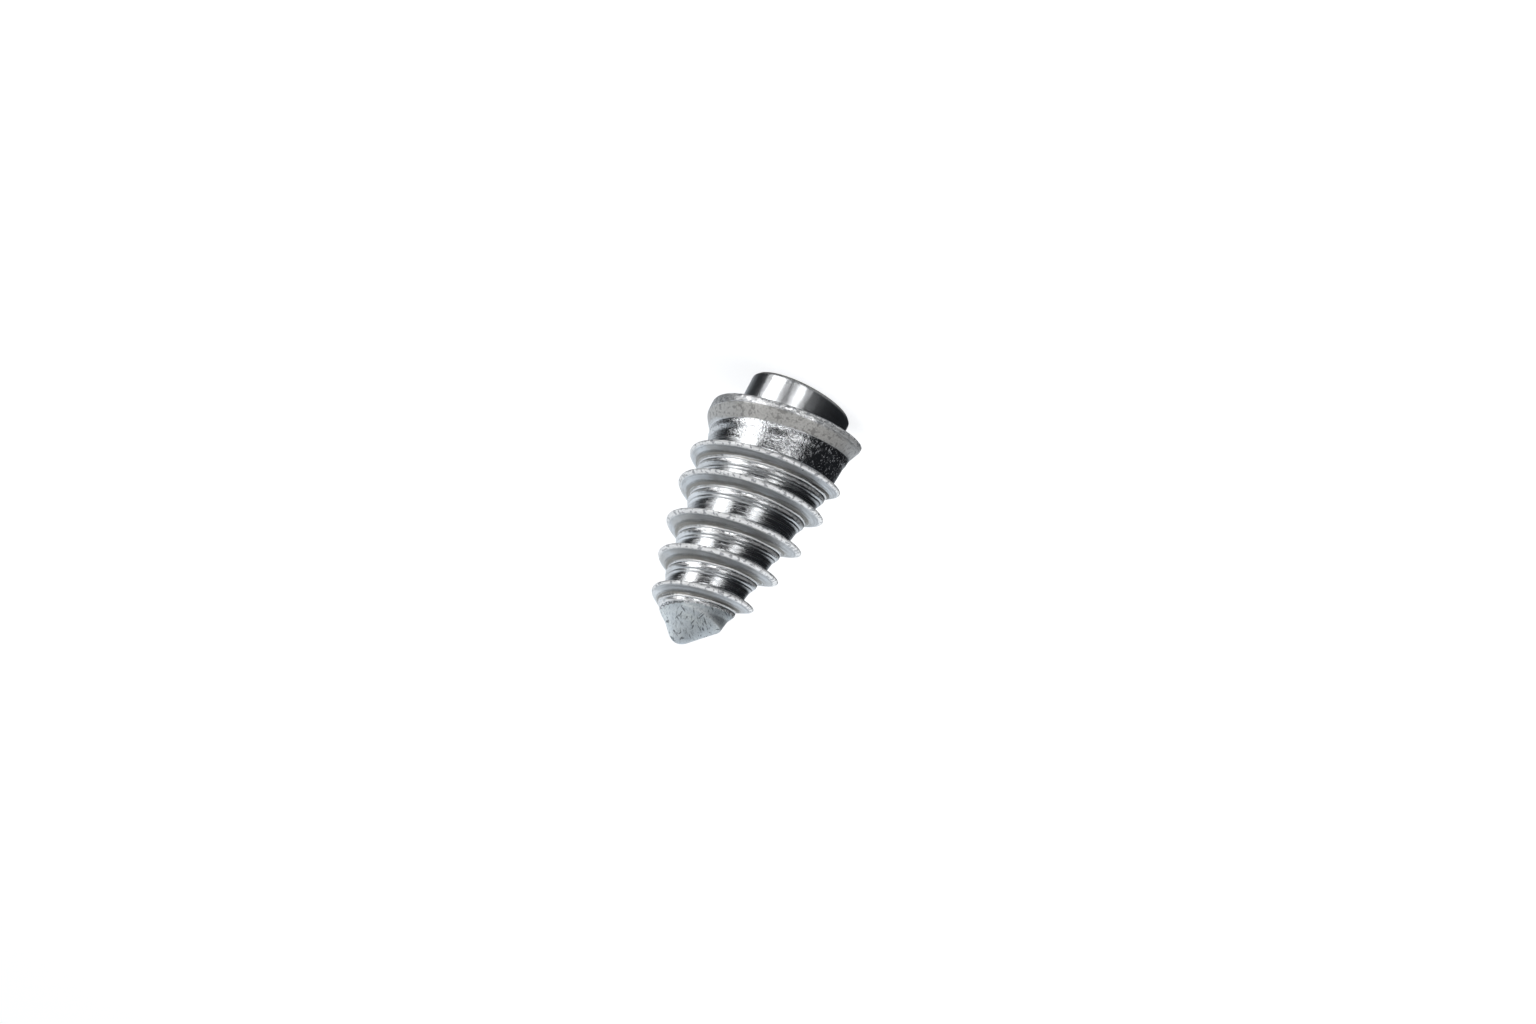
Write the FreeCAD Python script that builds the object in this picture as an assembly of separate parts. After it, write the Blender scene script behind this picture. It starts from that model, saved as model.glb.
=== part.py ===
import FreeCAD, Part
import math
import os

# Dental implant: one piece of titanium, in millimetres, standing on its neck with its tip up.
# Z runs from the neck's end face to the rounded tip.
# Turn angles are in degrees, counted from the front (-Y), and grow towards the tip: one blade
# winds up the body as a right-hand helix whose lead changes from turn to turn.

# Neck, the smooth post that stands out of the bone
NECK_DIAMETER = 3.76
NECK_HEIGHT = 1.30
NECK_EDGE_BEVEL = 0.10

# Core, the body between the turns of the blade
SHOULDER_DIAMETER = 4.80
WAIST_HEIGHT = 2.60
WAIST_DIAMETER = 4.62
BODY_HEIGHT = 4.85
BODY_DIAMETER = 3.80
LOWER_HEIGHT = 7.30
LOWER_DIAMETER = 2.90
END_DIAMETER = 2.38

# Tip, a blunt cone that ends in a ball
TIP_HEIGHT = 9.92
TIP_HALF_ANGLE = 43.0
TIP_RADIUS = 0.46

# Outline over the rim of the blade, whose last point lies a clearance short of the tip
RIM_HEAD_HEIGHT = 0.30
RIM_HEAD_DIAMETER = 5.24
RIM_WIDEST_HEIGHT = 2.30
RIM_WIDEST_DIAMETER = 5.46
RIM_MIDDLE_HEIGHT = 5.10
RIM_MIDDLE_DIAMETER = 4.98
RIM_LOWER_HEIGHT = 7.50
RIM_LOWER_DIAMETER = 3.92
RIM_END_CLEARANCE = 0.52
RIM_END_DIAMETER = 2.70

# Blade: height of its rim at the front of the collar, the lead of each turn, and how far the rim
# runs ahead of an even climb at the left and behind it at the right
COLLAR_HEIGHT = 1.37
WAIST_LEAD = 1.69
SECOND_LEAD = 1.09
THIRD_LEAD = 1.46
FOURTH_LEAD = 1.26
LAST_LEAD = 1.28
CLIMB_SWELL = 0.14
BLADE_START_ANGLE = -150.0
BLADE_END_CLEARANCE = 1.03
RUN_IN_ANGLE = 60.0
RUN_OUT_ANGLE = 120.0

# Blade section: flat land on the rim, nearly square side to the neck, sloped side to the tip
RIM_LAND = 0.11
TIP_SIDE_LENGTH = 0.29
BLADE_ROOT = 0.06
NECK_SIDE_SLOPE = 0.16
SHRINK_RATIO = 0.7

# The first turn is a collar, with a thicker land and a longer sloped side
COLLAR_LAND_FRONT = 0.21
COLLAR_LAND_BACK = 0.47
COLLAR_TIP_SIDE_LENGTH = 0.50
COLLAR_THICKEST_ANGLE = 100.0
COLLAR_END_ANGLE = 300.0

# Hollow band under the blade, and the ridge where the cutter of the groove stopped
BAND_LENGTH = 0.19
RIDGE_HEIGHT = 0.09
FOOT_CLEARANCE = 0.05
RIDGE_RUN = 0.42

# Socket for the abutment, in the neck's face: bevel, hexagon and screw bore
SOCKET_BEVEL_DIAMETER = 3.00
SOCKET_BEVEL_DEPTH = 0.25
HEX_SIDES = 6
HEX_ACROSS_FLATS = 2.40
HEX_DEPTH = 1.90
BORE_DIAMETER = 1.60
BORE_DEPTH = 5.60
DRILL_POINT_ANGLE = 59.0

# Steps of the curves
DEGREES_PER_SECTION = 20.0
CORE_STATIONS = 6


def smooth_curve(stations):
    """Smooth curve through (place, value) stations, as a function of place."""
    places = [place for place, value in stations]
    values = [value for place, value in stations]
    last = len(stations) - 1

    def slope(i):
        low = max(i - 1, 0)
        high = min(i + 1, last)
        return (values[high] - values[low]) / (places[high] - places[low])

    def value_at(place):
        if place <= places[0]:
            return values[0] + slope(0) * (place - places[0])
        if place >= places[last]:
            return values[last] + slope(last) * (place - places[last])
        i = max(k for k in range(last) if places[k] <= place)
        span = places[i + 1] - places[i]
        t = (place - places[i]) / span
        start = values[i] * (1 + 2 * t) * (1 - t) ** 2 + slope(i) * span * t * (1 - t) ** 2
        end = values[i + 1] * t ** 2 * (3 - 2 * t) + slope(i + 1) * span * t ** 2 * (t - 1)
        return start + end

    return value_at


def cone_top():
    """Height and radius where the tip's cone meets its ball."""
    lean = math.radians(TIP_HALF_ANGLE)
    return TIP_HEIGHT - TIP_RADIUS * (1 - math.sin(lean)), TIP_RADIUS * math.cos(lean)


def cone_radius(height):
    """Radius of the tip's cone."""
    top, radius = cone_top()
    return radius + (top - height) * math.tan(math.radians(TIP_HALF_ANGLE))


def cone_foot():
    """Height where the core ends and the tip's cone begins."""
    top, radius = cone_top()
    return top - (END_DIAMETER / 2 - radius) / math.tan(math.radians(TIP_HALF_ANGLE))


core_radius = smooth_curve([
    (NECK_HEIGHT, SHOULDER_DIAMETER / 2),
    (WAIST_HEIGHT, WAIST_DIAMETER / 2),
    (BODY_HEIGHT, BODY_DIAMETER / 2),
    (LOWER_HEIGHT, LOWER_DIAMETER / 2),
    (cone_foot(), END_DIAMETER / 2),
])

rim_radius = smooth_curve([
    (RIM_HEAD_HEIGHT, RIM_HEAD_DIAMETER / 2),
    (RIM_WIDEST_HEIGHT, RIM_WIDEST_DIAMETER / 2),
    (RIM_MIDDLE_HEIGHT, RIM_MIDDLE_DIAMETER / 2),
    (RIM_LOWER_HEIGHT, RIM_LOWER_DIAMETER / 2),
    (TIP_HEIGHT - RIM_END_CLEARANCE, RIM_END_DIAMETER / 2),
])


def blade_path():
    """Height of the rim as a function of the turn angle."""
    stations = [(0, COLLAR_HEIGHT)]
    for lead in (WAIST_LEAD, SECOND_LEAD, THIRD_LEAD, FOURTH_LEAD, LAST_LEAD):
        turn, height = stations[-1]
        stations.append((turn + 360, height + lead))
    even_climb = smooth_curve(stations)
    return lambda turn: even_climb(turn) + CLIMB_SWELL * math.sin(math.radians(turn))


rim_height = blade_path()


def blade_end():
    """Turn angle where the rim comes within its clearance of the tip."""
    turn = BLADE_START_ANGLE
    while rim_height(turn) < TIP_HEIGHT - BLADE_END_CLEARANCE:
        turn += DEGREES_PER_SECTION
    return turn


def ramp(value, start, end):
    """Rises smoothly from 0 at start to 1 at end."""
    t = min(max((value - start) / (end - start), 0.0), 1.0)
    return t * t * (3 - 2 * t)


def body_radius(height):
    """Radius of the turned body under the blade: neck, core or tip cone."""
    if height < NECK_HEIGHT:
        return NECK_DIAMETER / 2
    return min(core_radius(height), cone_radius(height))


def point(radius, height, turn):
    """Point at a radius and height, at a turn angle counted from the front."""
    angle = math.radians(turn)
    return FreeCAD.Vector(radius * math.sin(angle), -radius * math.cos(angle), height)


def turned_body():
    """Neck, core, tip cone and ball, turned in one piece."""
    neck = NECK_DIAMETER / 2
    bevel = NECK_EDGE_BEVEL
    ball_height, ball_radius = cone_top()
    foot = cone_foot()

    def at(radius, height):
        return FreeCAD.Vector(radius, 0, height)

    heights = [NECK_HEIGHT + (foot - NECK_HEIGHT) * i / CORE_STATIONS
               for i in range(CORE_STATIONS + 1)]
    side = Part.BSplineCurve()
    side.interpolate([at(core_radius(height), height) for height in heights])

    middle = math.radians(45 + TIP_HALF_ANGLE / 2)
    ball_middle = at(
        TIP_RADIUS * math.cos(middle), TIP_HEIGHT - TIP_RADIUS * (1 - math.sin(middle)),
    )
    edges = [
        Part.LineSegment(at(0, 0), at(neck - bevel, 0)),
        Part.LineSegment(at(neck - bevel, 0), at(neck, bevel)),
        Part.LineSegment(at(neck, bevel), at(neck, NECK_HEIGHT)),
        Part.LineSegment(at(neck, NECK_HEIGHT), at(SHOULDER_DIAMETER / 2, NECK_HEIGHT)),
        side,
        Part.LineSegment(at(END_DIAMETER / 2, foot), at(ball_radius, ball_height)),
        Part.Arc(at(ball_radius, ball_height), ball_middle, at(0, TIP_HEIGHT)),
        Part.LineSegment(at(0, TIP_HEIGHT), at(0, 0)),
    ]
    outline = Part.Wire([edge_curve.toShape() for edge_curve in edges])
    return Part.Face(outline).revolve(FreeCAD.Vector(), FreeCAD.Vector(0, 0, 1), 360)


def blade_section(turn, end_angle):
    """Section of the blade at a turn angle, as (radius, height) corners towards the tip."""
    height = rim_height(turn)
    grown = ramp(turn, BLADE_START_ANGLE, BLADE_START_ANGLE + RUN_IN_ANGLE)
    grown *= 1 - ramp(turn, end_angle - RUN_OUT_ANGLE, end_angle)
    reach = 1 - SHRINK_RATIO * (1 - grown)
    thick = 1 - ramp(turn, COLLAR_THICKEST_ANGLE, COLLAR_END_ANGLE)

    widened = COLLAR_LAND_BACK - COLLAR_LAND_FRONT
    collar_land = COLLAR_LAND_FRONT + widened * ramp(turn, 0, COLLAR_THICKEST_ANGLE)
    land = reach * (RIM_LAND + (collar_land - RIM_LAND) * thick)
    side = reach * (TIP_SIDE_LENGTH + (COLLAR_TIP_SIDE_LENGTH - TIP_SIDE_LENGTH) * thick)
    foot_height = height + side
    ridge_height = foot_height + reach * BAND_LENGTH
    run_height = ridge_height + reach * RIDGE_RUN

    def surface(level):
        if turn < 0:
            return NECK_DIAMETER / 2 + (core_radius(level) - NECK_DIAMETER / 2) * grown
        return body_radius(level)

    sunk = BLADE_ROOT * (1 - grown) / 2
    under = surface(height) * (1 - thick) + NECK_DIAMETER / 2 * thick
    rim = under - sunk + (rim_radius(height) - under + sunk) * grown
    low = surface(run_height) - BLADE_ROOT
    root = min(under - BLADE_ROOT, low)
    crest = FOOT_CLEARANCE + (RIDGE_HEIGHT - FOOT_CLEARANCE) * (1 - thick)
    return [
        (root, height - land - NECK_SIDE_SLOPE * (rim - root)),
        (rim, height - land),
        (rim, height),
        (surface(foot_height) + FOOT_CLEARANCE * grown - sunk, foot_height),
        (surface(ridge_height) + crest * grown - sunk, ridge_height),
        (low, run_height),
    ]


def ruled_face(rail, next_rail):
    """Face of straight lines between two rails that share their knots."""
    surface = Part.BSplineSurface()
    surface.buildFromPolesMultsKnots(
        [rail.getPoles(), next_rail.getPoles()],
        [2, 2], rail.getMultiplicities(), [0, 1], rail.getKnots(),
        False, False, 1, rail.Degree,
    )
    return surface.toShape()


def blade():
    """Ruled faces between the helical edges of the blade's section, closed at both ends."""
    end_angle = blade_end()
    count = round((end_angle - BLADE_START_ANGLE) / DEGREES_PER_SECTION)
    turns = [BLADE_START_ANGLE + DEGREES_PER_SECTION * i for i in range(count + 1)]
    sections = [blade_section(turn, end_angle) for turn in turns]

    rails = []
    for corner in range(len(sections[0])):
        rail = Part.BSplineCurve()
        points = [point(*section[corner], turn) for section, turn in zip(sections, turns)]
        rail.interpolate(Points=points, Parameters=turns)
        rails.append(rail)

    faces = [ruled_face(rails[i - 1], rails[i]) for i in range(len(rails))]
    for section, turn in ((sections[0], turns[0]), (sections[-1], turns[-1])):
        corners = [point(radius, height, turn) for radius, height in section]
        faces.append(Part.Face(Part.makePolygon(corners + corners[:1])))
    shell = Part.makeShell(faces)
    shell.sewShape()
    solid = Part.makeSolid(shell)
    if solid.Volume < 0:
        solid.reverse()
    return solid


def socket():
    """Room for the abutment and its screw, cut up into the neck."""
    flats = HEX_ACROSS_FLATS / 2
    corner = flats / math.cos(math.pi / HEX_SIDES)
    corners = [point(corner, 0, 360 * i / HEX_SIDES) for i in range(HEX_SIDES + 1)]
    hexagon = Part.Face(Part.makePolygon(corners)).extrude(FreeCAD.Vector(0, 0, HEX_DEPTH))
    bevel = Part.makeCone(SOCKET_BEVEL_DIAMETER / 2, flats, SOCKET_BEVEL_DEPTH)
    bore = Part.makeCylinder(BORE_DIAMETER / 2, BORE_DEPTH)
    drill_point = Part.makeCone(
        BORE_DIAMETER / 2, 0, BORE_DIAMETER / 2 / math.tan(math.radians(DRILL_POINT_ANGLE)),
        FreeCAD.Vector(0, 0, BORE_DEPTH),
    )
    return hexagon.fuse([bevel, bore, drill_point])


def implant():
    """The whole implant, one solid."""
    return turned_body().fuse(blade()).cut(socket())


os.makedirs("parts", exist_ok=True)
implant_body = implant()
print("solids", len(implant_body.Solids), "valid", implant_body.isValid(),
      "volume", round(implant_body.Volume, 2))
implant_body.exportStep("parts/implant_body.step")
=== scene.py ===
import math

import bpy
import numpy as np
from mathutils import Matrix, Vector
from mathutils.bvhtree import BVHTree

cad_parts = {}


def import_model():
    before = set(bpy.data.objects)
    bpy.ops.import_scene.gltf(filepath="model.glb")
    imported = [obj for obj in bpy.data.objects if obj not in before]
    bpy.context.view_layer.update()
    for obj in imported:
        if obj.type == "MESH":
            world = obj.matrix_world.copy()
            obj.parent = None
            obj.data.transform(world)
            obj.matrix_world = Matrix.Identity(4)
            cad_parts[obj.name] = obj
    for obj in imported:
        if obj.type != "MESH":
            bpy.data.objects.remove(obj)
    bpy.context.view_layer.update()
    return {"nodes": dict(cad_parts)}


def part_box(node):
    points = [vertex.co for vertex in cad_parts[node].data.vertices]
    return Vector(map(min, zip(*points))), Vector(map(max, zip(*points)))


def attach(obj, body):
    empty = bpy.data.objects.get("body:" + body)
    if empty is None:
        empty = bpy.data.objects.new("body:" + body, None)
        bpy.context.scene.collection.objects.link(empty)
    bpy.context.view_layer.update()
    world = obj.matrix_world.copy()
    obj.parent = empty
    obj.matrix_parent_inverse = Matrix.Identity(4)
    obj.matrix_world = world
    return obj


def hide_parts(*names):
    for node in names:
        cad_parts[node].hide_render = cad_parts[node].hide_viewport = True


# Dental implant of titanium, standing on its neck with its tip up. Lengths are in metres.
# The dressed body is one closed mesh of rings. Its outside is read from the imported solid, ray by
# ray, and then gets rounded edges and a nicked rim. The material adds the machining marks and
# painted light: white highlights on the rims and ridges, shade in the grooves, glints at the tip's
# edge.

MM = 0.001
BODY = "implant_body"

# Camera: the photograph's angle, with the tip pointing down and to the left
PICTURE_WIDTH = 1536
PIXELS_PER_MM = 28.7
ELEVATION = math.radians(15.8)
ROLL = math.radians(180 + 27.3)
AIM = Vector((-0.76, 0, 4.23)) * MM
LENS = 135.0
SENSOR = 36.0

# Mesh of rings
COLUMNS = 280
OUTER_ROWS = 318
SAMPLES = 1000
SMOOTH_ANGLE = math.radians(38)

# Core that the blade rises from, and how the solid's edges are rounded. Blurs are in samples.
CORE_PERCENTILE = 4
CORE_BLUR = 12
TURN_BLUR = 0.8
RIM_DEPTH = 0.25 * MM
RIM_ROUNDING = 0.048 * MM
EDGE_ROUNDING = 0.012 * MM

# How close the rings lie: evenly, closer on slopes, and closer still on bends
EVEN_WEIGHT = 0.35
SLOPE_WEIGHT = 0.8
BEND_WEIGHT = 0.9
BEND_LIMIT = 6
SPACING_BLUR_ALONG = 3
SPACING_BLUR_AROUND = 4

# Rim of the blade: how far apart its turns lie, the least bulge of it, and how far its painted
# highlight and nicks reach
LEAD = 1.35 * MM
RIM_BULGE = 3
RIM_REACH = 0.07 * MM

# Nicks in the rim
SEED = 7
NICK_WAVES = 14
NICK_SPREAD = (2, 6)
NICKS_AROUND = 40
NICKS_ALONG = 9
NICK_START = 0.9
NICK_LIMIT = 1.2
NICK_DEPTH = 0.020 * MM
NICKED_BULGE = 8
NICKED_RISE = 0.20 * MM

# Socket in the neck's face, as in the solid
NECK_FACE_RADIUS = 1.76 * MM
BEVEL_RADIUS = 1.50 * MM
BEVEL_DEPTH = 0.25 * MM
HEX_FLATS = 1.20 * MM
HEX_DEPTH = 1.90 * MM
BORE_RADIUS = 0.80 * MM
BORE_DEPTH = 5.60 * MM
DRILL_POINT = math.radians(59)

# Zones of finish, as heights, and the lengths over which they fade
NECK_TOP = 1.30 * MM
COLLAR_END = 2.30 * MM
WAIST_BOTTOM = 2.95 * MM
TIP_START = 8.66 * MM
TIP_SWING = 0.44 * MM
ZONE_FADE = 0.10 * MM
WAIST_FADE = 0.35 * MM
TIP_FADE = 0.24 * MM

# Slopes and bulges where the blade's side and the painted highlight on its rim start, and over
# which they grow
COLLAR_SLOPE = 0.30
BLADE_SLOPE = 0.50
SLOPE_FADE = 0.20
BRIGHT_BULGE = 7.2
BULGE_FADE = 4
BRIGHT_RISE = 0.16 * MM
# Share of the rim's painted highlight that the collar's land gets
LAND_BRIGHTNESS = 0.6

# Patterns: how often they change in a millimetre, along X, Y and Z or the same all ways
NECK_LINE_SCALE = (0.5, 0.5, 18)
STAIN_SCALE = (0.9, 0.9, 1.6)
SCRATCH_SCALE = (3, 3, 26)
BLADE_LINES_ALONG = 0.5
BLADE_LINES_ACROSS = 16
GRAIN_SCALE = 14
PEENING_SCALE = 11
PIT_SCALE = 8
DENT_SCALE = 7
TIP_EDGE_SCALE = 6
CUTTER_SCALE = 1
CUTTER_SWAY = 0.06

# Scratches of the tip: how far each set is turned about X, Y and Z, in degrees
SCRATCH_TURNS = ((12, 20, 25), (24, 75, 50), (36, 130, 75))

# Marks that the cutter left, as places past the rim in millimetres
GROOVE = 0.37
RIDGE = 0.47
FINE_LINE = 0.76

# Heights of the marks, in bump heights
BUMP_HEIGHT = 0.012 * MM
GROOVE_HEIGHT = -3.0
RIDGE_HEIGHT = 2.6
FINE_LINE_HEIGHT = -1.0
LINE_HEIGHT = 0.9
WAIST_LINE_HEIGHT = 0.1
TIP_LINE_HEIGHT = 0.05
PEENING_HEIGHT = 1.3
SIDE_GRAIN_HEIGHT = 0.5
TIP_GRAIN_HEIGHT = 0.7
SCRATCH_HEIGHT = -1.2

# Roughness of each zone, or of its smoothest and its roughest parts
NECK_ROUGHNESS = 0.29
CORE_ROUGHNESS = (0.16, 0.30)
WAIST_ROUGHNESS = 0.18
SIDE_ROUGHNESS = (0.34, 0.48)
RIM_ROUGHNESS = 0.20
TIP_ROUGHNESS = 0.58

# Index of refraction of the dull parts, and how much of the metal's mirror they take away; on the
# rims and the ridge this lets their painted white highlight show
IOR = 2.4
RIM_DULL = 0.9
RIDGE_DULL = 0.9
COLLAR_DULL = 0.7
SPECK_DULL = 0.75

# Colours of the finish
METAL = (0.77, 0.79, 0.81, 1)
METAL_STAIN = (0.60, 0.61, 0.62, 1)
WAIST_PATCH = (0.42, 0.43, 0.45, 1)
SIDE = (0.73, 0.76, 0.79, 1)
SIDE_STAIN = (0.58, 0.58, 0.57, 1)
SIDE_LINE = (0.48, 0.49, 0.50, 1)
COLLAR = (0.53, 0.52, 0.50, 1)
COLLAR_GRAIN = (0.42, 0.41, 0.39, 1)
COLLAR_DENT = (0.22, 0.21, 0.20, 1)
PIT = (0.12, 0.12, 0.13, 1)
# White of the painted highlight on the rims and the ridge, and the grey where dents break it
EDGE_PAINTED_HIGHLIGHT = (1.0, 1.0, 1.0, 1)
EDGE_DENT = (0.42, 0.43, 0.45, 1)
# Painted shade in the groove at the blade's foot, in streaks along the turned lines
FOOT_PAINTED_SHADE = (0.30, 0.285, 0.26, 1)
MATTE = (0.96, 1.00, 1.00, 1)
MATTE_STAIN = (0.88, 0.93, 0.96, 1)
MATTE_GRAIN = (0.62, 0.67, 0.70, 1)
SCRATCH = (0.16, 0.18, 0.20, 1)
# Painted shade and glints along the step at the tip's ragged edge
LIP_PAINTED_SHADE = (0.20, 0.21, 0.22, 1)
LIP_PAINTED_GLINT = (0.98, 0.99, 1.00, 1)

# Studio: what the camera sees, and the room that the metal mirrors
SEEN_WHITE = (0.99, 0.995, 1.0, 1)
ROOM_DIM = (0.012, 0.013, 0.015, 1)
ROOM_BEHIND = (0.86, 0.91, 0.96, 1)
ROOM_OVERHEAD = (0.39, 0.41, 0.43, 1)
REAR_TO_SIDE = 0.22
REAR_TO_TOP = 1.10
FLOOR_HALF_WIDTH = 3.0
FLOOR_COLOUR = (0.30, 0.30, 0.30, 1)
FLOOR_GLOW = (0.975, 0.985, 1.0, 1)
FLOOR_GLOW_LEVEL = 0.85
LAMP_DISTANCE = 0.30

# Soft lamps: azimuth from the front towards +X, elevation, width, length and lean, all in
# degrees, then the level, and whether the metal mirrors the lamp
LAMPS = {
    "key_softbox": (48, 12, 29, 36, 8, 2.9, True),
    "key_low_softbox": (68, -18, 36, 22, 0, 3.1, True),
    "fill_softbox": (-25, 10, 15, 34, 35, 2.4, True),
    "fill_low_softbox": (10, -18, 21, 21, 0, 3.2, True),
    "edge_softbox": (20, 44, 90, 8, 0, 0.9, True),
    "top_softbox": (-60, 50, 60, 60, 0, 1.5, False),
}


def aim_camera():
    """Camera at the photograph's viewing angle, upside down as the photograph is."""
    camera = bpy.data.objects.new("camera", bpy.data.cameras.new("camera"))
    bpy.context.scene.collection.objects.link(camera)
    camera.data.lens = LENS
    camera.data.sensor_width = SENSOR
    back = Vector((0, -math.cos(ELEVATION), math.sin(ELEVATION)))
    level_up = Vector((0, math.sin(ELEVATION), math.cos(ELEVATION)))
    level_right = Vector((1, 0, 0))
    right = level_right * math.cos(ROLL) + level_up * math.sin(ROLL)
    up = level_up * math.cos(ROLL) - level_right * math.sin(ROLL)
    field = PICTURE_WIDTH / PIXELS_PER_MM * MM
    turn = Matrix((right, up, back)).transposed().to_4x4()
    camera.matrix_world = Matrix.Translation(AIM + back * field * LENS / SENSOR) @ turn
    bpy.context.scene.camera = camera


def blurred(table, sigma, axis, wrap):
    """Gaussian blur of a table along one axis, sigma in samples."""
    reach = int(math.ceil(3 * sigma))
    offsets = np.arange(-reach, reach + 1)
    weights = np.exp(-0.5 * (offsets / sigma) ** 2)
    weights /= weights.sum()
    widths = [(0, 0), (0, 0)]
    widths[axis] = (reach, reach)
    padded = np.pad(table, widths, mode="wrap" if wrap else "edge")
    size = table.shape[axis]
    parts = [w * np.take(padded, np.arange(size) + i, axis=axis) for i, w in enumerate(weights)]
    return sum(parts)


def ramp(values, start, length):
    """From 0 at the start to 1 a length further up, or further down if the length is below 0."""
    return np.clip((values - start) / length, 0, 1)


def read_outside(node):
    """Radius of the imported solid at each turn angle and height, and those angles and heights."""
    tree = BVHTree.FromObject(node, bpy.context.evaluated_depsgraph_get())
    low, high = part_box(BODY)
    turns = np.arange(COLUMNS) * 2 * math.pi / COLUMNS
    heights = np.linspace(low[2], high[2], SAMPLES + 2)[1:-1]
    far = 2 * max(high[0], high[1])
    radii = np.zeros((COLUMNS, SAMPLES))
    for i, turn in enumerate(turns):
        outward = Vector((math.sin(turn), -math.cos(turn), 0))
        for j, height in enumerate(heights):
            hit = tree.ray_cast(outward * far + Vector((0, 0, height)), -outward)[0]
            radii[i, j] = math.hypot(hit.x, hit.y) if hit else 0.0
    return turns, heights, radii


def softened(radii, core, step):
    """The outside with rounded edges, rounder at the rim than elsewhere."""
    share = blurred(ramp(radii - core, 0, RIM_DEPTH), RIM_ROUNDING / step, 1, wrap=False)
    rounded = share * blurred(radii, RIM_ROUNDING / step, 1, wrap=False)
    rounded += (1 - share) * blurred(radii, EDGE_ROUNDING / step, 1, wrap=False)
    return blurred(rounded, TURN_BLUR, 0, wrap=True)


def ring_places(rounded, step):
    """Place of each sample between the first ring, at 0, and the last, at 1."""
    slope = np.gradient(rounded, step, axis=1)
    bend = np.abs(np.gradient(slope, step, axis=1)) * MM
    density = EVEN_WEIGHT + SLOPE_WEIGHT * np.sqrt(1 + slope ** 2)
    density += BEND_WEIGHT * np.minimum(bend, BEND_LIMIT)
    density = blurred(density, SPACING_BLUR_ALONG, 1, wrap=False)
    density = blurred(density, SPACING_BLUR_AROUND, 0, wrap=True)
    places = np.cumsum(density, axis=1)
    return (places - places[:, :1]) / (places[:, -1:] - places[:, :1])


def past_the_rim(heights, bulge):
    """How far each point lies past the last turn of the rim, towards the tip."""
    gap = round(LEAD / 2 / (heights[1] - heights[0]))
    distance = np.zeros(bulge.shape)
    for i, row in enumerate(bulge):
        peaks = [j for j in range(gap, SAMPLES - gap)
                 if row[j] > RIM_BULGE and row[j] == row[j - gap:j + gap + 1].max()]
        rims = np.concatenate([[heights[peaks[0]] - LEAD], heights[peaks]])
        last = np.maximum(np.searchsorted(rims, heights) - 1, 0)
        distance[i] = heights - rims[last]
    return distance


def outer_rings(node):
    """The turn angles, and tables of the outside with one row for each ring.

    height and radius: where the point lies. fall: how fast the radius falls towards the tip.
    bulge: how sharply it bends there. raised: how far it lies outside the core. across: how far
    it lies past the rim.
    """
    turns, heights, radii = read_outside(node)
    step = heights[1] - heights[0]
    core = np.percentile(radii, CORE_PERCENTILE, axis=0)
    core = blurred(core[None, :], CORE_BLUR, 1, wrap=False)[0]
    rounded = softened(radii, core, step)
    fall = -np.gradient(rounded, step, axis=1)
    bulge = np.maximum(np.gradient(fall, step, axis=1), 0) * MM
    reach = round(RIM_REACH / step)
    widened = np.max([np.roll(bulge, shift, axis=1) for shift in range(-reach, 2)], axis=0)
    tables = {
        "radius": rounded,
        "fall": fall,
        "bulge": blurred(widened, 1.0, 1, wrap=False),
        "raised": rounded - core,
        "across": past_the_rim(heights, bulge * (rounded > core + RIM_DEPTH)),
    }
    rows = np.linspace(0, 1, OUTER_ROWS)
    height = [np.interp(rows, places, heights) for places in ring_places(rounded, step)]
    rings = {"height": np.array(height).T}
    for name, table in tables.items():
        columns = [np.interp(at, heights, column) for at, column in zip(height, table)]
        rings[name] = np.array(columns).T
    return turns, rings


def smooth_noise(turns, places, waves, spread, seed):
    """Smooth random field over turn angle and place, from a sum of seeded waves.

    spread: what the number of waves around stays below, and how widely that along varies.
    """
    random = np.random.default_rng(seed)
    field = np.zeros(np.broadcast(turns, places).shape)
    for _ in range(waves):
        around = random.integers(1, spread[0])
        along = random.normal() * spread[1]
        field += np.sin(around * turns + along * places + random.uniform(0, 2 * math.pi))
    return field / math.sqrt(waves / 2)


def nicked_radius(turns, outside):
    """Radius of the outside with dents along the rim."""
    place = outside["height"] / MM
    winding = turns * NICKS_AROUND + place * NICKS_ALONG
    dents = smooth_noise(winding, place, NICK_WAVES, NICK_SPREAD, SEED)
    rim = ramp(outside["bulge"], 0, NICKED_BULGE) * ramp(outside["raised"], 0, NICKED_RISE)
    return outside["radius"] - rim * np.clip(dents - NICK_START, 0, NICK_LIMIT) * NICK_DEPTH


def socket_rings(turns):
    """Rings from the bore's bottom out to the neck's face, each with a radius and a height."""
    to_flat = turns % (math.pi / 3) - math.pi / 6
    hexagon = HEX_FLATS / np.cos(to_flat)
    even = np.ones(COLUMNS)
    bevel_slope = BEVEL_DEPTH / (BEVEL_RADIUS - HEX_FLATS)
    return [
        (even * BORE_RADIUS, even * BORE_DEPTH),
        (even * BORE_RADIUS, even * (BORE_DEPTH + HEX_DEPTH) / 2),
        (even * BORE_RADIUS, even * HEX_DEPTH),
        (hexagon, even * HEX_DEPTH),
        (hexagon, even * HEX_DEPTH / 2),
        (hexagon, (BEVEL_RADIUS - hexagon) * bevel_slope),
        (even * BEVEL_RADIUS, even * 0),
        (even * NECK_FACE_RADIUS, even * 0),
    ]


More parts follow.
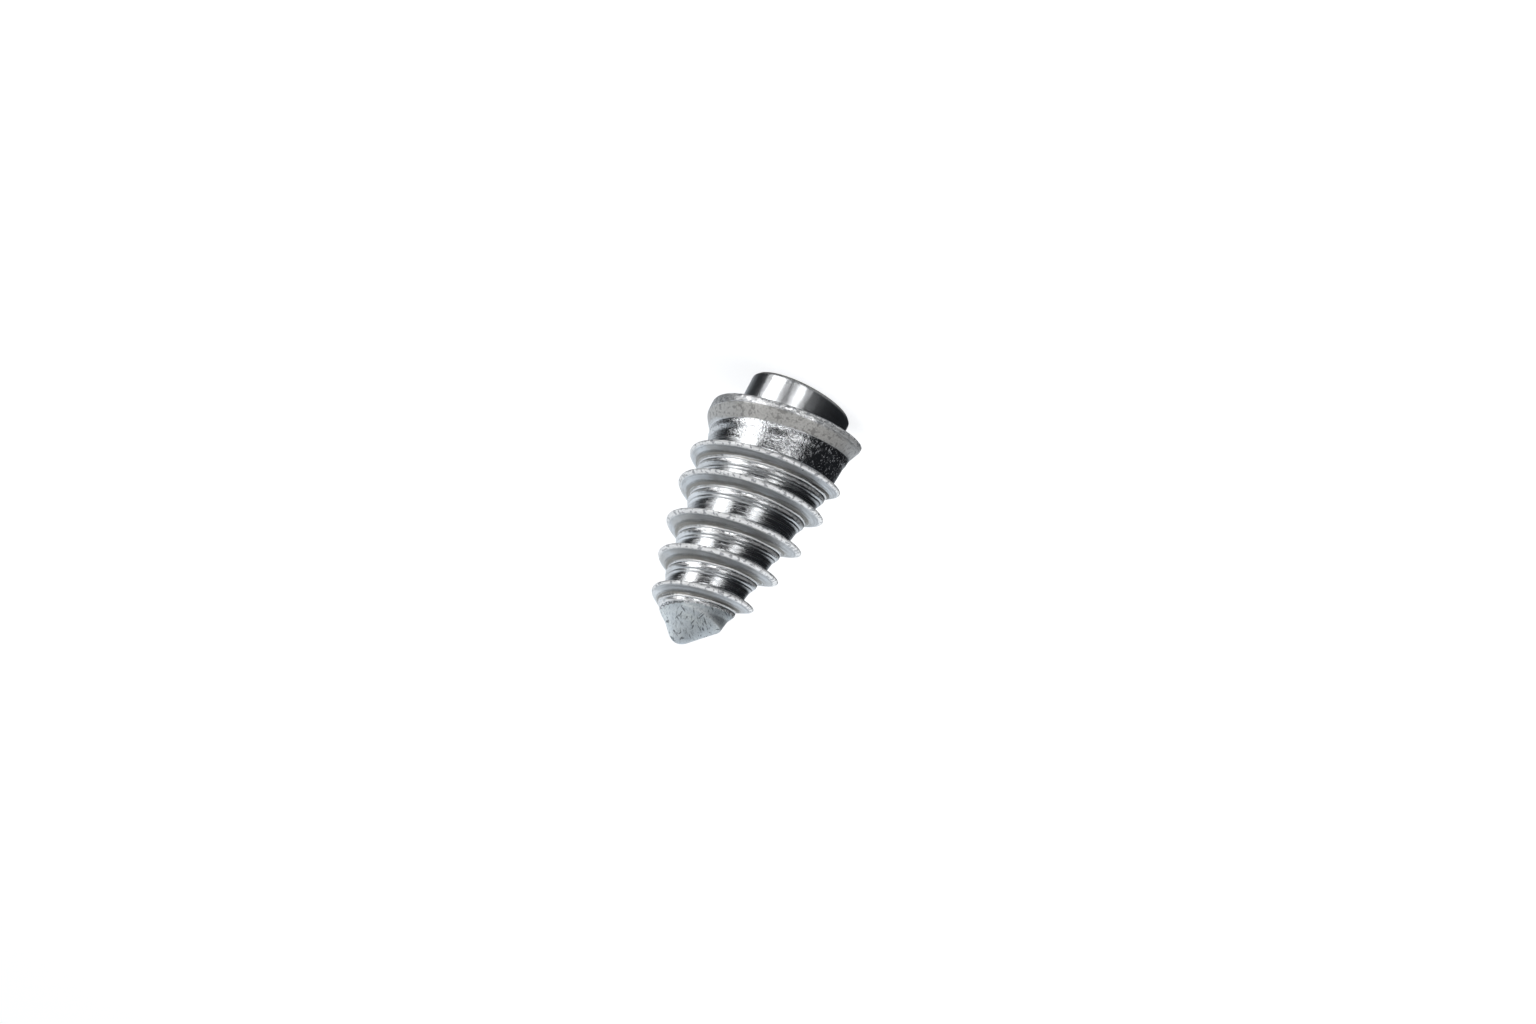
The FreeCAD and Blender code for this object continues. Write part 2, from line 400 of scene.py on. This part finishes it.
def ring_faces(count):
    """Faces between the rings, and the fans that close the bore's bottom and the tip."""
    faces = []
    for ring in range(count - 1):
        here = ring * COLUMNS
        above = here + COLUMNS
        for i in range(COLUMNS):
            k = (i + 1) % COLUMNS
            faces.append((here + i, here + k, above + k, above + i))
    last_ring = (count - 1) * COLUMNS
    bore_end = count * COLUMNS
    tip = bore_end + 1
    for i in range(COLUMNS):
        k = (i + 1) % COLUMNS
        faces.append((bore_end, k, i))
        faces.append((tip, last_ring + i, last_ring + k))
    return faces


def dressed_body(node):
    """The implant as one closed mesh of rings, with its zones of finish as attributes."""
    turns, outside = outer_rings(node)
    rings = socket_rings(turns)
    inner_points = len(rings) * COLUMNS
    rings += zip(nicked_radius(turns, outside), outside["height"])
    reach = np.array([ring[0] for ring in rings])
    level = np.array([ring[1] for ring in rings])
    points = np.stack([reach * np.sin(turns), -reach * np.cos(turns), level], axis=2)
    bore_end = (0, 0, BORE_DEPTH + BORE_RADIUS / math.tan(DRILL_POINT))
    tip = (0, 0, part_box(BODY)[1][2])
    points = np.vstack([points.reshape(-1, 3), bore_end, tip])

    mesh = bpy.data.meshes.new("implant_dressed")
    mesh.from_pydata(points.tolist(), [], ring_faces(len(rings)))
    mesh.validate()
    mesh.shade_smooth()
    mesh.set_sharp_from_angle(angle=SMOOTH_ANGLE)
    body = bpy.data.objects.new("implant_dressed", mesh)
    bpy.context.scene.collection.objects.link(body)
    for name, values in finish_zones(turns, outside).items():
        write_zone(mesh, name, values, inner_points)
    return body


def finish_zones(turns, outside):
    """Masks of the zones of finish, and the place past the rim, at each point of the outside."""
    height = outside["height"]
    raised = outside["raised"]
    on_collar = height < COLLAR_END
    least_slope = np.where(on_collar, COLLAR_SLOPE, BLADE_SLOPE)
    blade = ramp(np.abs(outside["fall"]), least_slope, SLOPE_FADE) * (height < TIP_START)
    # Sharp bends of the rim, and the collar's land, get the painted white highlight
    rim = ramp(outside["bulge"], BRIGHT_BULGE, BULGE_FADE) * ramp(raised, 0, BRIGHT_RISE)
    land = ramp(raised, RIM_DEPTH, ZONE_FADE) * on_collar * (1 - blade)
    above_neck = ramp(height, NECK_TOP, ZONE_FADE)
    below_waist = ramp(height, WAIST_BOTTOM, -WAIST_FADE)
    tip_start = TIP_START + TIP_SWING * np.sin(turns) - TIP_FADE / 2
    return {
        "blade": blade,
        "collar": blade * ramp(height, COLLAR_END, -ZONE_FADE),
        "rim": np.maximum(rim, LAND_BRIGHTNESS * land),
        "waist": above_neck * below_waist * (1 - blade),
        "tip": ramp(height, tip_start, TIP_FADE),
        "across": outside["across"] / MM,
    }


def write_zone(mesh, name, values, inner_points):
    """Stores a value for each of the outside's points. The socket's points stay at nought."""
    zone = mesh.attributes.new(name, "FLOAT", "POINT")
    data = np.zeros(len(mesh.vertices), dtype=np.float32)
    data[inner_points:inner_points + values.size] = values.ravel()
    zone.data.foreach_set("value", data)


class Nodes:
    """Short ways to add and join the nodes of one node tree."""

    def __init__(self, tree):
        self.tree = tree
        tree.nodes.clear()

    def add(self, kind, **settings):
        node = self.tree.nodes.new(kind)
        for name, value in settings.items():
            setattr(node, name, value)
        return node

    def join(self, value, socket):
        """Links a socket's value to the input, or sets the input to a number or colour."""
        if hasattr(value, "is_linked"):
            self.tree.links.new(value, socket)
        else:
            socket.default_value = value

    def math(self, operation, first, *others):
        """Applies the operation to the first value and the next, and so on along the row."""
        for other in others:
            node = self.add("ShaderNodeMath", operation=operation)
            self.join(first, node.inputs[0])
            self.join(other, node.inputs[1])
            first = node.outputs[0]
        return first

    def plus(self, *values):
        return self.math("ADD", *values)

    def minus(self, first, second):
        return self.math("SUBTRACT", first, second)

    def times(self, *values):
        return self.math("MULTIPLY", *values)

    def highest(self, *values):
        return self.math("MAXIMUM", *values)

    def unsigned(self, value):
        node = self.add("ShaderNodeMath", operation="ABSOLUTE")
        self.join(value, node.inputs[0])
        return node.outputs[0]

    def mix(self, share, first, second):
        """Colour between the first, at a share of 0, and the second, at 1."""
        node = self.add("ShaderNodeMix", data_type="RGBA")
        self.join(share, node.inputs[0])
        self.join(first, node.inputs[6])
        self.join(second, node.inputs[7])
        return node.outputs[2]

    def blend(self, share, first, second):
        """Number between the first, at a share of 0, and the second, at 1."""
        node = self.add("ShaderNodeMix", data_type="FLOAT")
        self.join(share, node.inputs[0])
        self.join(first, node.inputs[2])
        self.join(second, node.inputs[3])
        return node.outputs[0]

    def step(self, value, low, high):
        """Smooth step from 0 at low to 1 at high."""
        node = self.add("ShaderNodeMapRange", interpolation_type="SMOOTHSTEP")
        self.join(value, node.inputs["Value"])
        node.inputs["From Min"].default_value = low
        node.inputs["From Max"].default_value = high
        return node.outputs["Result"]

    def line(self, value, centre, width):
        """Rises to 1 at the centre and falls back to 0 at half the width on both sides."""
        off = self.unsigned(self.minus(value, centre))
        return self.step(self.minus(1.0, self.math("DIVIDE", off, width / 2)), 0, 1)

    def zone(self, name):
        return self.add("ShaderNodeAttribute", attribute_name=name).outputs["Fac"]

    def split(self, point):
        node = self.add("ShaderNodeSeparateXYZ")
        self.join(point, node.inputs[0])
        return node.outputs

    def height(self):
        return self.split(self.add("ShaderNodeTexCoord").outputs["Object"])["Z"]

    def place(self, scale, turn=(0, 0, 0)):
        """The point on the object in millimetres, scaled and turned."""
        mapping = self.add("ShaderNodeMapping", vector_type="TEXTURE")
        self.join(self.add("ShaderNodeTexCoord").outputs["Object"], mapping.inputs["Vector"])
        mapping.inputs["Rotation"].default_value = [math.radians(angle) for angle in turn]
        mapping.inputs["Scale"].default_value = [MM / part for part in scale]
        return mapping.outputs["Vector"]

    def around(self, along, across):
        """A point that changes slowly along the blade's helix and quickly across it."""
        where = self.split(self.place((along, along, along)))
        point = self.add("ShaderNodeCombineXYZ")
        self.join(where["X"], point.inputs["X"])
        self.join(where["Y"], point.inputs["Y"])
        self.join(self.times(self.zone("across"), across), point.inputs["Z"])
        return point.outputs[0]

    def noise(self, point, detail, roughness=0.5):
        node = self.add("ShaderNodeTexNoise")
        self.join(point, node.inputs["Vector"])
        node.inputs["Scale"].default_value = 1.0
        node.inputs["Detail"].default_value = detail
        node.inputs["Roughness"].default_value = roughness
        return node.outputs["Fac"]

    def even_noise(self, scale, detail, roughness=0.5):
        """Noise that is as coarse one way as another."""
        return self.noise(self.place((scale, scale, scale)), detail, roughness)


class Finish:
    """Zones and patterns of the titanium, and what they make of the shader's inputs."""

    def __init__(self, n):
        self.n = n
        self.blade = n.zone("blade")
        self.rim = n.zone("rim")
        self.waist = n.zone("waist")
        self.collar = n.zone("collar")
        self.body = n.step(n.height(), NECK_TOP, NECK_TOP + ZONE_FADE)
        ragged = n.plus(n.zone("tip"), n.times(n.even_noise(TIP_EDGE_SCALE, detail=3), 0.5))
        self.tip = n.step(ragged, 0.72, 0.78)
        # Band along the tip's ragged edge, which gets painted glints and shade
        self.lip = n.minus(n.step(ragged, 0.56, 0.60), n.step(ragged, 0.80, 0.90))

        neck_lines = n.noise(n.place(NECK_LINE_SCALE), detail=4, roughness=0.7)
        on_blade = n.around(BLADE_LINES_ALONG, BLADE_LINES_ACROSS)
        self.blade_lines = n.noise(on_blade, detail=5, roughness=0.6)
        self.lines = n.blend(self.body, n.times(neck_lines, 0.5), self.blade_lines)
        self.stains = n.noise(n.place(STAIN_SCALE), detail=4)
        self.grain = n.even_noise(GRAIN_SCALE, detail=4, roughness=0.6)
        self.peening = n.even_noise(PEENING_SCALE, detail=4, roughness=0.65)
        self.pits = n.step(n.even_noise(PIT_SCALE, detail=2), 0.70, 0.78)
        self.dents = n.step(n.even_noise(DENT_SCALE, detail=3), 0.53, 0.61)
        self.scratches = n.highest(*[self.scratch_set(turn) for turn in SCRATCH_TURNS])

        unturned = n.highest(self.waist, self.collar, self.tip)
        self.turned = n.times(self.body, n.minus(1.0, unturned))
        sway = n.times(n.even_noise(CUTTER_SCALE, detail=3), CUTTER_SWAY)
        self.cutter = n.plus(n.zone("across"), sway)
        # The ridge that the cutter left, which gets a painted white highlight
        self.ridge = n.times(self.turned, n.line(self.cutter, RIDGE, 0.08))
        # The groove at the blade's foot, which gets streaks of painted shade
        foot = n.minus(n.step(self.cutter, 0.31, 0.40), n.step(self.cutter, 0.43, 0.46))
        self.foot = n.times(self.turned, foot)

    def scratch_set(self, turn):
        """Short straight scratches that lie one way."""
        fine = self.n.noise(self.n.place(SCRATCH_SCALE, turn), detail=1)
        return self.n.times(self.n.step(fine, 0.65, 0.72), 0.8)

    def side_colour(self):
        """Pale sides of the blade with lines and pits, and the grained side of the collar."""
        n = self.n
        colour = n.mix(n.step(self.stains, 0.35, 0.65), SIDE, SIDE_STAIN)
        colour = n.mix(n.step(self.blade_lines, 0.42, 0.64), colour, SIDE_LINE)
        grained = n.mix(n.step(self.grain, 0.45, 0.60), COLLAR, COLLAR_GRAIN)
        colour = n.mix(self.collar, colour, grained)
        colour = n.mix(n.times(self.collar, self.dents, 0.8), colour, COLLAR_DENT)
        return n.mix(self.pits, colour, PIT)

    def tip_colour(self):
        """White matte tip with grain and scratches."""
        n = self.n
        colour = n.mix(n.step(self.stains, 0.35, 0.65), MATTE, MATTE_STAIN)
        colour = n.mix(n.step(self.grain, 0.45, 0.75), colour, MATTE_GRAIN)
        return n.mix(self.scratches, colour, SCRATCH)

    def colour(self):
        """Polished metal with the sides and tip, painted white highlights on the rims and ridge,
        streaks of painted shade in the grooves, and painted glints and shade along the tip's edge.
        """
        n = self.n
        colour = n.mix(n.step(self.stains, 0.35, 0.70), METAL, METAL_STAIN)
        patches = n.times(self.waist, n.step(self.peening, 0.50, 0.62))
        colour = n.mix(patches, colour, WAIST_PATCH)
        colour = n.mix(self.blade, colour, self.side_colour())
        # Painted white highlight on the rims, broken by grey dents
        colour = n.mix(self.rim, colour, n.mix(self.dents, EDGE_PAINTED_HIGHLIGHT, EDGE_DENT))
        # Streaks of painted shade in the groove at the blade's foot
        foot_shade = n.times(self.foot, n.step(self.blade_lines, 0.40, 0.54))
        colour = n.mix(foot_shade, colour, FOOT_PAINTED_SHADE)
        # Painted white highlight along the ridge
        colour = n.mix(self.ridge, colour, EDGE_PAINTED_HIGHLIGHT)
        colour = n.mix(self.tip, colour, self.tip_colour())
        # Painted glints in painted shade along the tip's edge
        lip_glints = n.mix(n.step(self.grain, 0.48, 0.54), LIP_PAINTED_SHADE, LIP_PAINTED_GLINT)
        return n.mix(self.lip, colour, lip_glints)

    def roughness(self):
        n = self.n
        roughness = n.blend(n.step(self.lines, 0.35, 0.65), *CORE_ROUGHNESS)
        roughness = n.blend(self.body, NECK_ROUGHNESS, roughness)
        roughness = n.blend(self.waist, roughness, WAIST_ROUGHNESS)
        sides = n.blend(n.step(self.grain, 0.30, 0.70), *SIDE_ROUGHNESS)
        roughness = n.blend(self.blade, roughness, sides)
        roughness = n.blend(self.rim, roughness, RIM_ROUGHNESS)
        return n.blend(self.tip, roughness, TIP_ROUGHNESS)

    def metallic(self):
        """Less of a mirror on the rims and the ridge, so that their painted white highlight shows,
        and on the collar's side and the waist's specks.
        """
        n = self.n
        specks = n.times(self.waist, n.step(self.peening, 0.56, 0.64))
        dull = n.highest(
            n.times(self.rim, RIM_DULL),
            n.times(self.ridge, RIDGE_DULL),
            n.times(self.collar, COLLAR_DULL),
            n.times(specks, SPECK_DULL),
        )
        return n.minus(1.0, dull)

    def relief(self):
        """Fine ups and downs of the surface, in bump heights."""
        n = self.n
        cutter_marks = n.plus(
            n.times(n.line(self.cutter, GROOVE, 0.11), GROOVE_HEIGHT),
            n.times(n.line(self.cutter, RIDGE, 0.12), RIDGE_HEIGHT),
            n.times(n.line(self.cutter, FINE_LINE, 0.10), FINE_LINE_HEIGHT),
        )
        scratches = n.times(self.scratches, SCRATCH_HEIGHT)
        tip_marks = n.plus(scratches, n.times(self.grain, TIP_GRAIN_HEIGHT))
        line_height = n.blend(self.waist, LINE_HEIGHT, WAIST_LINE_HEIGHT)
        line_height = n.blend(self.tip, line_height, TIP_LINE_HEIGHT)
        raised = n.plus(
            n.times(self.lines, line_height),
            n.times(self.turned, cutter_marks),
            n.times(self.peening, self.waist, PEENING_HEIGHT),
            n.times(self.grain, self.blade, SIDE_GRAIN_HEIGHT),
            n.times(tip_marks, self.tip),
        )
        return n.minus(raised, n.times(self.dents, self.rim))


def titanium():
    """Polished titanium with turned lines, pale blade sides, a rough waist and a scratched tip."""
    material = bpy.data.materials.new("titanium")
    material.use_nodes = True
    n = Nodes(material.node_tree)
    finish = Finish(n)
    bump = n.add("ShaderNodeBump")
    bump.inputs["Strength"].default_value = 1.0
    bump.inputs["Distance"].default_value = BUMP_HEIGHT
    n.join(finish.relief(), bump.inputs["Height"])
    shader = n.add("ShaderNodeBsdfPrincipled")
    shader.inputs["IOR"].default_value = IOR
    n.join(finish.metallic(), shader.inputs["Metallic"])
    n.join(finish.colour(), shader.inputs["Base Color"])
    n.join(finish.roughness(), shader.inputs["Roughness"])
    n.join(bump.outputs["Normal"], shader.inputs["Normal"])
    output = n.add("ShaderNodeOutputMaterial")
    n.join(shader.outputs["BSDF"], output.inputs["Surface"])
    return material


def floor_material():
    """Pale floor that shows white to the camera and keeps the shadow."""
    material = bpy.data.materials.new("pale_floor")
    material.use_nodes = True
    n = Nodes(material.node_tree)
    diffuse = n.add("ShaderNodeBsdfDiffuse")
    diffuse.inputs["Color"].default_value = FLOOR_COLOUR
    glow = n.add("ShaderNodeEmission")
    glow.inputs["Color"].default_value = FLOOR_GLOW
    seen = n.add("ShaderNodeLightPath").outputs["Is Camera Ray"]
    n.join(n.times(seen, FLOOR_GLOW_LEVEL), glow.inputs["Strength"])
    both = n.add("ShaderNodeAddShader")
    n.join(diffuse.outputs[0], both.inputs[0])
    n.join(glow.outputs[0], both.inputs[1])
    output = n.add("ShaderNodeOutputMaterial")
    n.join(both.outputs[0], output.inputs["Surface"])
    return material


def build_floor():
    """The floor that the implant stands on. The metal sees past it to the studio around."""
    half = FLOOR_HALF_WIDTH
    mesh = bpy.data.meshes.new("floor")
    corners = [(-half, -half, 0), (half, -half, 0), (half, half, 0), (-half, half, 0)]
    mesh.from_pydata(corners, [], [(0, 1, 2, 3)])
    floor = bpy.data.objects.new("floor", mesh)
    bpy.context.scene.collection.objects.link(floor)
    mesh.materials.append(floor_material())
    floor.visible_glossy = False


def softbox(name, azimuth, elevation, width, length, lean, level, mirrored):
    """Soft lamp that faces the implant from the lamp distance."""
    turn = math.radians(azimuth)
    rise = math.radians(elevation)
    away = Vector((
        math.sin(turn) * math.cos(rise), -math.cos(turn) * math.cos(rise), math.sin(rise),
    ))
    lamp = bpy.data.lights.new(name, "AREA")
    lamp.shape = "RECTANGLE"
    lamp.size = 2 * LAMP_DISTANCE * math.tan(math.radians(width / 2))
    lamp.size_y = 2 * LAMP_DISTANCE * math.tan(math.radians(length / 2))
    lamp.energy = level * math.pi * lamp.size * lamp.size_y
    holder = bpy.data.objects.new(name, lamp)
    bpy.context.scene.collection.objects.link(holder)
    side = away.cross(Vector((0, 0, 1))).normalized()
    up = side.cross(away)
    tilted = Matrix.Rotation(math.radians(lean), 3, away)
    turned = Matrix((tilted @ side, tilted @ up, away)).transposed()
    holder.matrix_world = Matrix.Translation(away * LAMP_DISTANCE + AIM) @ turned.to_4x4()
    holder.visible_camera = False
    holder.visible_glossy = mirrored


def light_studio():
    """White to the camera. The metal sees a dim room, brighter behind and overhead."""
    world = bpy.data.worlds.new("studio")
    bpy.context.scene.world = world
    world.use_nodes = True
    n = Nodes(world.node_tree)
    way = n.split(n.add("ShaderNodeTexCoord").outputs["Generated"])
    rear = n.plus(way["Y"], n.times(way["X"], REAR_TO_SIDE), n.times(way["Z"], REAR_TO_TOP))
    room = n.mix(n.step(rear, 0.48, 0.88), ROOM_DIM, ROOM_BEHIND)
    room = n.mix(n.step(n.unsigned(way["Z"]), 0.50, 0.90), room, ROOM_OVERHEAD)
    seen = n.add("ShaderNodeLightPath").outputs["Is Camera Ray"]
    background = n.add("ShaderNodeBackground")
    n.join(n.mix(seen, room, SEEN_WHITE), background.inputs["Color"])
    output = n.add("ShaderNodeOutputWorld")
    n.join(background.outputs[0], output.inputs["Surface"])
    for name, lamp in LAMPS.items():
        softbox(name, *lamp)


def main():
    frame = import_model()
    aim_camera()
    light_studio()
    build_floor()
    body = dressed_body(frame["nodes"][BODY])
    body.data.materials.append(titanium())
    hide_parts(BODY)
    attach(body, "root")
    bpy.context.scene.view_settings.view_transform = "Standard"


main()
